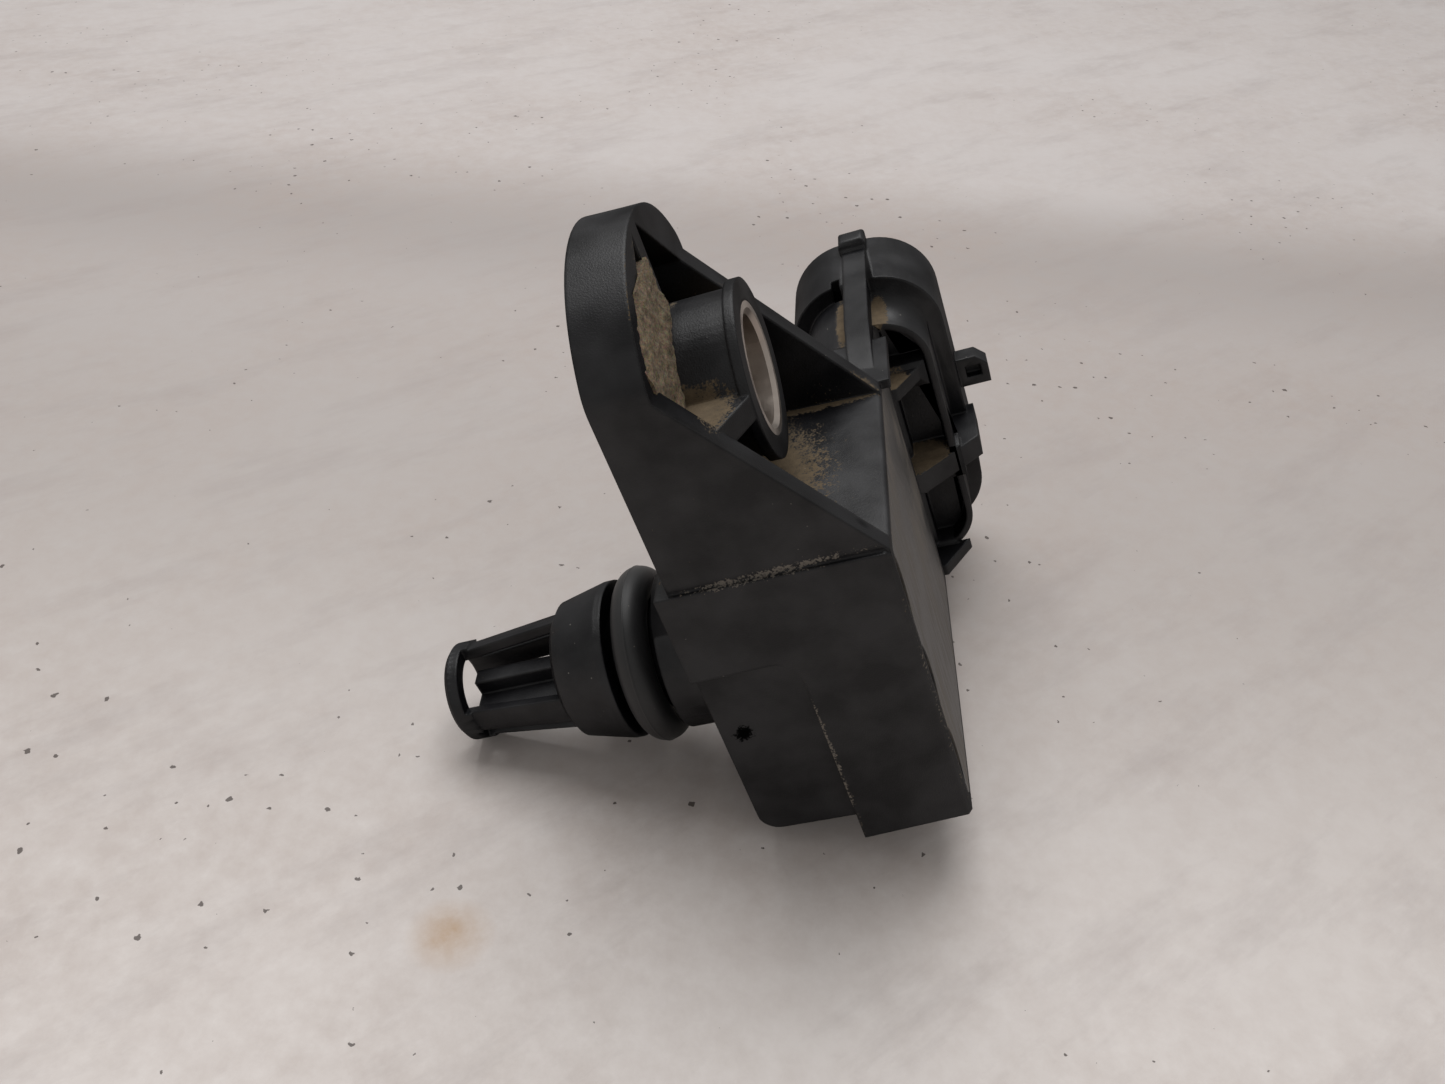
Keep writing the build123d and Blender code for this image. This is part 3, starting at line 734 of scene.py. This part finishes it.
# Transfer-moulded epoxy: dark grey with a spark-eroded grain of 0.11 mm, drawn coarser than it is.
moulding = blank("transfer_moulded_epoxy")
place = node(moulding, "ShaderNodeTexCoord")
spark = node(moulding, "ShaderNodeTexNoise", Vector=place.outputs["Object"], Scale=9 / mm)
matt = node(
    moulding,
    "ShaderNodeMix",
    {"data_type": "RGBA"},
    Factor=spark.outputs["Fac"],
    A=colour("#1d1d1e"),
    B=colour("#2d2d2e"),
)
rough = node(
    moulding, "ShaderNodeBump", Height=spark.outputs["Fac"], Strength=0.3, Distance=0.02 * mm
)
skin = node(
    moulding,
    "ShaderNodeBsdfPrincipled",
    Base_Color=matt.outputs[2],
    Roughness=0.55,
    Normal=rough.outputs["Normal"],
)
node(moulding, "ShaderNodeOutputMaterial", Surface=skin.outputs[0])
dress(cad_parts["signal_chip"], moulding)
dress(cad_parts["dam_ring"], moulding)

# Fired barium titanate: a dull caramel brown, mottled over 0.25 mm.
titanate = blank("fired_barium_titanate")
place = node(titanate, "ShaderNodeTexCoord")
mottle = node(titanate, "ShaderNodeTexNoise", Vector=place.outputs["Object"], Scale=4 / mm)
brown = node(
    titanate,
    "ShaderNodeMix",
    {"data_type": "RGBA"},
    Factor=mottle.outputs["Fac"],
    A=colour("#8d7150"),
    B=colour("#a98a63"),
)
skin = node(titanate, "ShaderNodeBsdfPrincipled", Base_Color=brown.outputs[2], Roughness=0.4)
node(titanate, "ShaderNodeOutputMaterial", Surface=skin.outputs[0])
for number in (1, 2, 3):
    dress(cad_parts[f"capacitor_{number}"], titanate)

# Drawn aluminium: a bright cool grey with fine draw lines 0.11 mm apart.
ribbon = blank("drawn_aluminium_ribbon")
place = node(ribbon, "ShaderNodeTexCoord")
drawn = node(
    ribbon, "ShaderNodeMapping", Vector=place.outputs["Object"], Scale=(0.4 / mm, 9 / mm, 0.4 / mm)
)
draw_lines = node(ribbon, "ShaderNodeTexNoise", Vector=drawn.outputs[0], Scale=1.0)
bright = node(
    ribbon,
    "ShaderNodeMix",
    {"data_type": "RGBA"},
    Factor=draw_lines.outputs["Fac"],
    A=colour("#c3c4c6"),
    B=colour("#dedfe0"),
)
skin = node(
    ribbon, "ShaderNodeBsdfPrincipled", Base_Color=bright.outputs[2], Metallic=1.0, Roughness=0.3
)
node(ribbon, "ShaderNodeOutputMaterial", Surface=skin.outputs[0])
dress(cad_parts["bond_ribbons"], ribbon)


# Pressure cell
# A drilled glass block with a silicon die bonded to it, over the port's silicone seal. A dam
# keeps a soft clear gel over the die, so that moisture can't reach it.

# Moulded silicone rubber: brick red, matt, uneven over 0.7 mm.
silicone = blank("moulded_silicone_rubber")
place = node(silicone, "ShaderNodeTexCoord")
batch = node(silicone, "ShaderNodeTexNoise", Vector=place.outputs["Object"], Scale=1.5 / mm)
red = node(
    silicone,
    "ShaderNodeMix",
    {"data_type": "RGBA"},
    Factor=batch.outputs["Fac"],
    A=colour("#8e3b2c"),
    B=colour("#a54a38"),
)
skin = node(silicone, "ShaderNodeBsdfPrincipled", Base_Color=red.outputs[2], Roughness=0.6)
node(silicone, "ShaderNodeOutputMaterial", Surface=skin.outputs[0])
dress(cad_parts["port_seal"], silicone)

# Sawn borosilicate glass: clear and faintly green, frosted by saw marks of 0.13 mm.
glass = blank("sawn_borosilicate_glass")
place = node(glass, "ShaderNodeTexCoord")
saw = node(glass, "ShaderNodeTexNoise", Vector=place.outputs["Object"], Scale=8 / mm)
frost = node(glass, "ShaderNodeMapRange", Value=saw.outputs["Fac"], To_Min=0.15, To_Max=0.4)
skin = node(
    glass,
    "ShaderNodeBsdfPrincipled",
    Base_Color=colour("#dfe8e6"),
    Roughness=frost.outputs[0],
    IOR=1.47,
    Transmission_Weight=0.9,
)
node(glass, "ShaderNodeOutputMaterial", Surface=skin.outputs[0])
dress(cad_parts["glass_block"], glass)

# Etched silicon: a dark blue-grey mirror, clouded over 0.4 mm.
silicon = blank("etched_silicon")
place = node(silicon, "ShaderNodeTexCoord")
etch = node(silicon, "ShaderNodeTexNoise", Vector=place.outputs["Object"], Scale=2.5 / mm)
grey = node(
    silicon,
    "ShaderNodeMix",
    {"data_type": "RGBA"},
    Factor=etch.outputs["Fac"],
    A=colour("#5b5e69"),
    B=colour("#737784"),
)
skin = node(
    silicon, "ShaderNodeBsdfPrincipled", Base_Color=grey.outputs[2], Metallic=0.6, Roughness=0.2
)
node(silicon, "ShaderNodeOutputMaterial", Surface=skin.outputs[0])
dress(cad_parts["pressure_die"], silicon)

# Poured silicone gel: clear and wet, with slow ripples of 1.4 mm.
gel = blank("poured_silicone_gel")
place = node(gel, "ShaderNodeTexCoord")
ripple = node(gel, "ShaderNodeTexNoise", Vector=place.outputs["Object"], Scale=0.7 / mm)
meniscus = node(
    gel, "ShaderNodeBump", Height=ripple.outputs["Fac"], Strength=0.2, Distance=0.1 * mm
)
skin = node(
    gel,
    "ShaderNodeBsdfPrincipled",
    Base_Color=colour("#e6e6de"),
    Roughness=0.08,
    IOR=1.41,
    Transmission_Weight=1.0,
    Normal=meniscus.outputs["Normal"],
)
node(gel, "ShaderNodeOutputMaterial", Surface=skin.outputs[0])
dress(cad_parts["protective_gel"], gel)


# Lid seal
# A bead of black silicone adhesive, run into the groove in the ledge and squeezed by the lid's
# tongue, where it cures.

# Cured silicone: black, smooth and slightly shiny, with swells of 1.1 mm.
adhesive = blank("cured_silicone_adhesive")
place = node(adhesive, "ShaderNodeTexCoord")
squeeze = node(adhesive, "ShaderNodeTexNoise", Vector=place.outputs["Object"], Scale=0.9 / mm)
glue = node(
    adhesive,
    "ShaderNodeMix",
    {"data_type": "RGBA"},
    Factor=squeeze.outputs["Fac"],
    A=colour("#161617"),
    B=colour("#272728"),
)
skin = node(adhesive, "ShaderNodeBsdfPrincipled", Base_Color=glue.outputs[2], Roughness=0.35)
node(adhesive, "ShaderNodeOutputMaterial", Surface=skin.outputs[0])
dress(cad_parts["lid_seal"], adhesive)


# Lid
# A flat plate moulded in the same polyester as the housing, pressed into its recess and held by
# the adhesive. It has been wiped, so its dust lies in streaks from the bolt's side to the back.

# Rubbed polyester: browner than the housing, dull where the dust lies, with wiping streaks about
# 0.4 mm wide and 8 mm long, clouds of 5.5 mm and a grain of 0.13 mm.
plate = blank("rubbed_glass_filled_polyester")
place = node(plate, "ShaderNodeTexCoord")
wiped = node(
    plate,
    "ShaderNodeMapping",
    Vector=place.outputs["Object"],
    Scale=(2.4 / mm, 0.12 / mm, 0.4 / mm),
)
streaks = node(plate, "ShaderNodeTexNoise", Vector=wiped.outputs[0], Scale=1.0, Detail=5.0)
clouds = node(
    plate, "ShaderNodeTexNoise", Vector=place.outputs["Object"], Scale=0.18 / mm, Detail=5.0
)
grain = node(plate, "ShaderNodeTexNoise", Vector=place.outputs["Object"], Scale=8 / mm, Detail=3.0)
dust = node(
    plate,
    "ShaderNodeMath",
    {"operation": "MULTIPLY"},
    i0=streaks.outputs["Fac"],
    i1=clouds.outputs["Fac"],
)
film = node(plate, "ShaderNodeMapRange", Value=dust.outputs[0], From_Min=0.2, From_Max=0.38)
dusted = node(
    plate,
    "ShaderNodeMix",
    {"data_type": "RGBA"},
    Factor=film.outputs[0],
    A=colour("#121213"),
    B=colour("#575048"),
)
peppered = node(
    plate,
    "ShaderNodeMix",
    {"data_type": "RGBA", "blend_type": "OVERLAY"},
    Factor=0.35,
    A=dusted.outputs[2],
    B=grain.outputs["Color"],
)
shine = node(plate, "ShaderNodeMapRange", Value=film.outputs[0], To_Min=0.42, To_Max=0.75)
rounded = node(plate, "ShaderNodeBevel", {"samples": 6}, Radius=0.2 * mm)
rough = node(
    plate,
    "ShaderNodeBump",
    Height=grain.outputs["Fac"],
    Normal=rounded.outputs["Normal"],
    Strength=0.3,
    Distance=0.04 * mm,
)
skin = node(
    plate,
    "ShaderNodeBsdfPrincipled",
    Base_Color=peppered.outputs[2],
    Roughness=shine.outputs[0],
    Normal=rough.outputs["Normal"],
)
node(plate, "ShaderNodeOutputMaterial", Surface=skin.outputs[0])
dress(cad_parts["lid"], plate)


# Sand in the pocket
# Road dust and fine sand have filled the flange's pocket on the near side, level with its edge,
# and lie a little higher against the boss. It is caked, with a crumbly top.

sand_level = 4.85 * mm
pocket_floor = 2.35 * mm
pocket_low = Vector((-8.9, 22.0, 0)) * mm
pocket_high = Vector((-0.5, 30.2, 0)) * mm
flange_centre = Vector((0, 20.8, 0)) * mm
flange_reach = 11.65 * mm
boss_reach = 5.1 * mm
grain_step = 0.12 * mm

bpy.ops.object.select_all(action="DESELECT")
bpy.ops.mesh.primitive_grid_add(
    x_subdivisions=round((pocket_high.x - pocket_low.x) / grain_step),
    y_subdivisions=round((pocket_high.y - pocket_low.y) / grain_step),
    size=1.0,
    location=(pocket_low + pocket_high) / 2 + Vector((0, 0, sand_level)),
)
sand = bpy.context.object
sand.name = "caked_sand"
sand.scale = (pocket_high.x - pocket_low.x, pocket_high.y - pocket_low.y, 1)
bpy.ops.object.transform_apply(location=True, rotation=True, scale=True)
bpy.ops.object.mode_set(mode="EDIT")
bpy.ops.mesh.select_mode(type="VERT")
bpy.ops.mesh.select_all(action="DESELECT")
bpy.ops.object.mode_set(mode="OBJECT")
for vertex in sand.data.vertices:
    out = (vertex.co.xy - flange_centre.xy).length
    vertex.select = out > flange_reach or out < boss_reach
bpy.ops.object.mode_set(mode="EDIT")
bpy.ops.mesh.delete(type="VERT")
bpy.ops.object.mode_set(mode="OBJECT")
# the top is crumbly, thins out over the flange's border, and lies higher against the boss
crumbs = bpy.data.textures.new("crumbs", "CLOUDS")
crumbs.noise_scale = 0.8 * mm
crumbs.noise_depth = 3
heave = sand.modifiers.new("heave", "DISPLACE")
heave.texture = crumbs
heave.strength = 0.35 * mm
heave.mid_level = 0.5
heave.direction = "Z"
bpy.ops.object.modifier_apply(modifier="heave")
for inner, outer, rise in ((11.2, 11.7, -0.3), (10.2, 11.7, -0.1), (5.0, 6.2, 0.2)):
    bpy.ops.object.mode_set(mode="EDIT")
    bpy.ops.mesh.select_all(action="DESELECT")
    bpy.ops.object.mode_set(mode="OBJECT")
    for vertex in sand.data.vertices:
        out = (vertex.co.xy - flange_centre.xy).length
        vertex.select = inner * mm < out < outer * mm
    bpy.ops.object.mode_set(mode="EDIT")
    bpy.ops.transform.translate(
        value=(0, 0, rise * mm),
        use_proportional_edit=True,
        proportional_edit_falloff="SMOOTH",
        proportional_size=1.2 * mm,
    )
    bpy.ops.object.mode_set(mode="OBJECT")
bpy.ops.object.mode_set(mode="EDIT")
bpy.ops.mesh.select_all(action="SELECT")
bpy.ops.mesh.extrude_region_move(
    TRANSFORM_OT_translate={"value": (0, 0, pocket_floor - sand_level)}
)
bpy.ops.mesh.select_all(action="SELECT")
bpy.ops.mesh.normals_make_consistent(inside=False)
bpy.ops.object.mode_set(mode="OBJECT")
bpy.ops.object.shade_smooth_by_angle(angle=0.7)

# Caked road sand: dull grey-brown, in sand grains of 0.15 mm and darker crumbs of 0.4 mm.
caked = blank("caked_road_sand")
place = node(caked, "ShaderNodeTexCoord")
grains = node(
    caked, "ShaderNodeTexNoise", Vector=place.outputs["Object"], Scale=6.5 / mm, Detail=3.0
)
lumps = node(
    caked,
    "ShaderNodeTexNoise",
    Vector=place.outputs["Object"],
    Scale=2.4 / mm,
    Detail=6.0,
    Roughness=0.75,
)
clods = node(caked, "ShaderNodeMapRange", Value=lumps.outputs["Fac"], From_Min=0.3, From_Max=0.68)
sandy = node(
    caked,
    "ShaderNodeMix",
    {"data_type": "RGBA"},
    Factor=clods.outputs[0],
    A=colour("#352d24"),
    B=colour("#85745c"),
)
mixed = node(
    caked,
    "ShaderNodeMix",
    {"data_type": "RGBA", "blend_type": "OVERLAY"},
    Factor=0.6,
    A=sandy.outputs[2],
    B=grains.outputs["Color"],
)
crumbly = node(
    caked, "ShaderNodeMath", {"operation": "ADD"}, i0=grains.outputs["Fac"], i1=lumps.outputs["Fac"]
)
rough = node(caked, "ShaderNodeBump", Height=crumbly.outputs[0], Strength=0.6, Distance=0.1 * mm)
skin = node(
    caked,
    "ShaderNodeBsdfPrincipled",
    Base_Color=mixed.outputs[2],
    Roughness=0.95,
    Normal=rough.outputs["Normal"],
)
node(caked, "ShaderNodeOutputMaterial", Surface=skin.outputs[0])
dress(sand, caked)
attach(sand, "root")


# Table
# The sensor lies on a pale painted worktop, on the tip of its nozzle and the lower edge of its
# body, so the worktop is tilted in the part's own frame. Seen from below it is clear.

rest_up = Vector((0, 21.4, 8.2)).normalized()
rest_point = Vector((0, -12.0, 0)) * mm
table_size = 4.0

bpy.ops.object.select_all(action="DESELECT")
bpy.ops.mesh.primitive_plane_add(size=table_size)
table = bpy.context.object
table.name = "table"
tilt = Vector((0, 0, 1)).rotation_difference(rest_up).to_matrix().to_4x4()
table.data.transform(Matrix.Translation(rest_point) @ tilt)

# Brushed pale paint, worn: a warm off-white, half matt, stained and rubbed, with specks of grime.
# Its colour runs in bands from front to back that are painted light: paler at the front, to make up
# for the panel's light falling off there, and greyer in bands behind the sensor.
worktop = blank("painted_worktop")
place = node(worktop, "ShaderNodeTexCoord")
across = node(worktop, "ShaderNodeSeparateXYZ", Vector=place.outputs["Object"])
# painted light: the paint's paleness is set front to back to even out the panel's falloff
band = node(worktop, "ShaderNodeMapRange", Value=across.outputs["X"], From_Min=-0.05, From_Max=0.25)
painted_light_bands = node(worktop, "ShaderNodeValToRGB", Fac=band.outputs[0])
painted_light_bands.color_ramp.interpolation = "B_SPLINE"
painted_light_bands.color_ramp.elements[0].color = colour("#e2dbd7")
painted_light_bands.color_ramp.elements[1].color = colour("#c4bebc")
for spot, text in (
    (0.12, "#d4cdc9"),
    (0.25, "#aba4a0"),
    (0.40, "#b5aeab"),
    (0.46, "#a29b98"),
    (0.51, "#a69f9c"),
    (0.57, "#c8c2c0"),
):
    painted_light_bands.color_ramp.elements.new(spot).color = colour(text)
# paint texture of 0.4 mm, small blotches of 2 mm and slow stains of 30 mm
dabs = node(
    worktop, "ShaderNodeTexNoise", Vector=place.outputs["Object"], Scale=2.5 / mm, Detail=3.0
)
blotches = node(
    worktop,
    "ShaderNodeTexNoise",
    Vector=place.outputs["Object"],
    Scale=0.45 / mm,
    Detail=7.0,
    Roughness=0.7,
)
stains = node(
    worktop, "ShaderNodeTexNoise", Vector=place.outputs["Object"], Scale=0.03 / mm, Detail=4.0
)
# grey smears about 25 mm long and 8 mm wide, all rubbed the same way
flattened = node(
    worktop,
    "ShaderNodeMapping",
    Vector=place.outputs["Object"],
    Rotation=(rest_up.angle(Vector((0, 0, 1))), 0.0, 0.0),
)
rubbed = node(
    worktop,
    "ShaderNodeMapping",
    {"vector_type": "TEXTURE"},
    Vector=flattened.outputs[0],
    Rotation=(0.0, 0.0, -0.86),
    Scale=(25 * mm, 8 * mm, 1.0),
)
smears = node(
    worktop, "ShaderNodeTexNoise", Vector=rubbed.outputs[0], Scale=1.0, Detail=8.0, Roughness=0.7
)
smear = node(
    worktop,
    "ShaderNodeMapRange",
    Value=smears.outputs["Fac"],
    From_Min=0.5,
    From_Max=0.8,
    To_Min=0.0,
    To_Max=0.5,
)
blotch = node(
    worktop,
    "ShaderNodeMath",
    {"operation": "MULTIPLY"},
    i0=blotches.outputs["Fac"],
    i1=stains.outputs["Fac"],
)
stained = node(
    worktop,
    "ShaderNodeMapRange",
    Value=blotch.outputs[0],
    From_Min=0.15,
    From_Max=0.42,
    To_Min=0.0,
    To_Max=0.4,
)
# the painted light bands, with the stains over them
paint_and_painted_light = node(
    worktop,
    "ShaderNodeMix",
    {"data_type": "RGBA"},
    Factor=stained.outputs[0],
    A=painted_light_bands.outputs["Color"],
    B=colour("#a8988f"),
)
smeared = node(
    worktop,
    "ShaderNodeMix",
    {"data_type": "RGBA"},
    Factor=smear.outputs[0],
    A=paint_and_painted_light.outputs[2],
    B=colour("#9a8f8c"),
)
# grime specks up to 0.5 mm and about 3 mm apart, thicker where the worktop is smeared
uneven = node(
    worktop,
    "ShaderNodeVectorMath",
    {"operation": "MULTIPLY_ADD"},
    i0=dabs.outputs["Color"],
    i1=[0.6 * mm] * 3,
    i2=flattened.outputs[0],
)
grime = node(
    worktop,
    "ShaderNodeTexVoronoi",
    {"voronoi_dimensions": "2D"},
    Vector=uneven.outputs[0],
    Scale=0.33 / mm,
    Randomness=1.0,
)
chance = node(worktop, "ShaderNodeSeparateColor", Color=grime.outputs["Color"])
likely = node(
    worktop,
    "ShaderNodeMath",
    {"operation": "MULTIPLY"},
    i0=chance.outputs["Red"],
    i1=stains.outputs["Fac"],
)
size = node(
    worktop,
    "ShaderNodeMapRange",
    Value=likely.outputs[0],
    From_Min=0.38,
    From_Max=0.62,
    To_Min=0.0,
    To_Max=0.08,
)
dot = node(
    worktop,
    "ShaderNodeMath",
    {"operation": "LESS_THAN"},
    i0=grime.outputs["Distance"],
    i1=size.outputs[0],
)
faint = node(worktop, "ShaderNodeMath", {"operation": "MULTIPLY"}, i0=dot.outputs[0], i1=0.85)
specked = node(
    worktop,
    "ShaderNodeMix",
    {"data_type": "RGBA"},
    Factor=faint.outputs[0],
    A=smeared.outputs[2],
    B=colour("#3b2f29"),
)
# one rusty stain of 5 mm in front of the nozzle
rust_centre = (-19.5, -4.4, -19.9)
from_rust = node(
    worktop,
    "ShaderNodeVectorMath",
    {"operation": "DISTANCE"},
    i0=place.outputs["Object"],
    i1=[c * mm for c in rust_centre],
)
rust_reach = node(
    worktop,
    "ShaderNodeMapRange",
    Value=from_rust.outputs["Value"],
    From_Min=3.2 * mm,
    From_Max=0.5 * mm,
    To_Max=1.1,
)
rust = node(
    worktop,
    "ShaderNodeMath",
    {"operation": "MULTIPLY"},
    i0=rust_reach.outputs[0],
    i1=blotches.outputs["Fac"],
)
rusted = node(
    worktop,
    "ShaderNodeMix",
    {"data_type": "RGBA"},
    Factor=rust.outputs[0],
    A=specked.outputs[2],
    B=colour("#b38f66"),
)
rough = node(
    worktop, "ShaderNodeBump", Height=dabs.outputs["Fac"], Strength=0.15, Distance=0.05 * mm
)
top = node(
    worktop,
    "ShaderNodeBsdfPrincipled",
    Base_Color=rusted.outputs[2],
    Roughness=0.55,
    Normal=rough.outputs["Normal"],
)
clear = node(worktop, "ShaderNodeBsdfTransparent")
side = node(worktop, "ShaderNodeNewGeometry")
seen = node(
    worktop,
    "ShaderNodeMixShader",
    i0=side.outputs["Backfacing"],
    i1=top.outputs[0],
    i2=clear.outputs[0],
)
node(worktop, "ShaderNodeOutputMaterial", Surface=seen.outputs[0])
dress(table, worktop)


# Light
# Plain soft light: a pale room, and one large soft panel above and behind the sensor.

room_strength = 0.56
panel_place = Vector((170, 400, 100)) * mm
panel_size = 350 * mm
panel_watts = 1.5

room = bpy.data.worlds.new("pale_room")
bpy.context.scene.world = room
room.use_nodes = True
walls = room.node_tree.nodes["Background"]
walls.inputs["Color"].default_value = colour("#e8e6e4")
walls.inputs["Strength"].default_value = room_strength

bpy.ops.object.light_add(type="AREA", location=panel_place)
panel = bpy.context.object
panel.data.energy = panel_watts
panel.data.size = panel_size
panel.rotation_euler = (-panel.location).to_track_quat("-Z", "Y").to_euler()


# Camera
# It stands where the photograph was taken from, above the flange's near side. Its place and turn
# were worked out from edges in the photograph.

camera_place = Vector((-71.900, 58.883, 23.901)) * mm
camera_right = Vector((0.062815, -0.314670, 0.947120))
camera_down = Vector((-0.603366, -0.767904, -0.215111))
camera_ahead = Vector((0.794987, -0.557948, -0.238097))
turn = Matrix((camera_right, -camera_down, -camera_ahead)).transposed().to_4x4()
bpy.ops.object.camera_add()
camera = bpy.context.object
camera.data.sensor_width = 36.0
camera.data.lens = 32.42
camera.data.clip_start = 0.001
camera.matrix_world = Matrix.Translation(camera_place) @ turn
bpy.context.scene.camera = camera
bpy.context.scene.view_settings.view_transform = "Standard"
